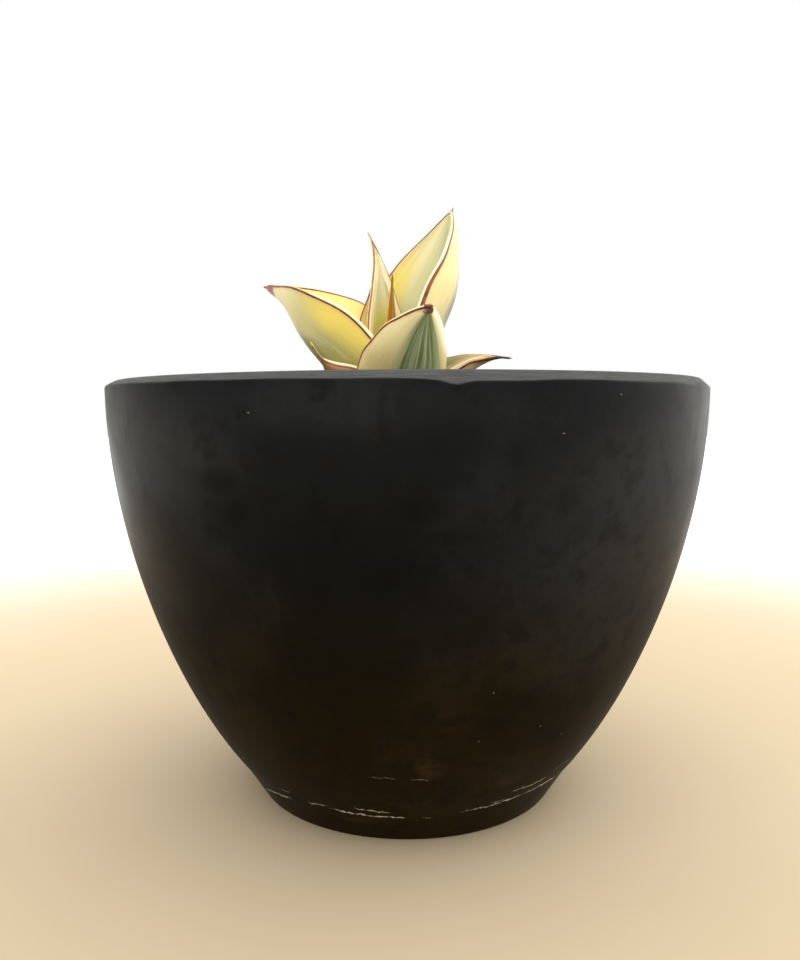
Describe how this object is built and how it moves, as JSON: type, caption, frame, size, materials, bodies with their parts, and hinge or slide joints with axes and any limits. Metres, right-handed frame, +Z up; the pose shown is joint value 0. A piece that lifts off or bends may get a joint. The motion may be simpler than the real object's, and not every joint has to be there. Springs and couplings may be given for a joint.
{
  "type": "potted variegated sansevieria pinguicula",
  "caption": "Young variegated succulent with thick channelled cream and yellow leaves, in a round dark footed pot filled with soil.",
  "frame": {"origin": "middle of the pot's foot, on the surface that the pot stands on", "axes": "+Z up along the pot's axis, -Y towards the viewer of the picture, +X to that viewer's right"},
  "size_m": [0.2, 0.2, 0.2034],
  "materials": {
    "pot": "matt unglazed charcoal stoneware, worn grey along the lip, with chalky scratches above the foot",
    "soil": "gritty potting mix of dark humus, pumice and bark",
    "stem": "dull fibrous stem base with pale brown roots",
    "leaf": "waxy succulent leaf, cream to yellow with green bands, cream rims and red brown edge lines",
    "young_leaf": "waxy rolled young leaf, amber brown"
  },
  "bodies": {
    "root": {"pot": "pot", "soil": "soil", "crown": "stem", "leaf_spear": "young_leaf", "leaf_young": "leaf", "leaf_back": "leaf", "leaf_tall": "leaf", "leaf_left": "leaf", "leaf_front": "leaf", "leaf_low_right": "leaf", "leaf_low_left": "leaf"}
  },
  "joints": []
}
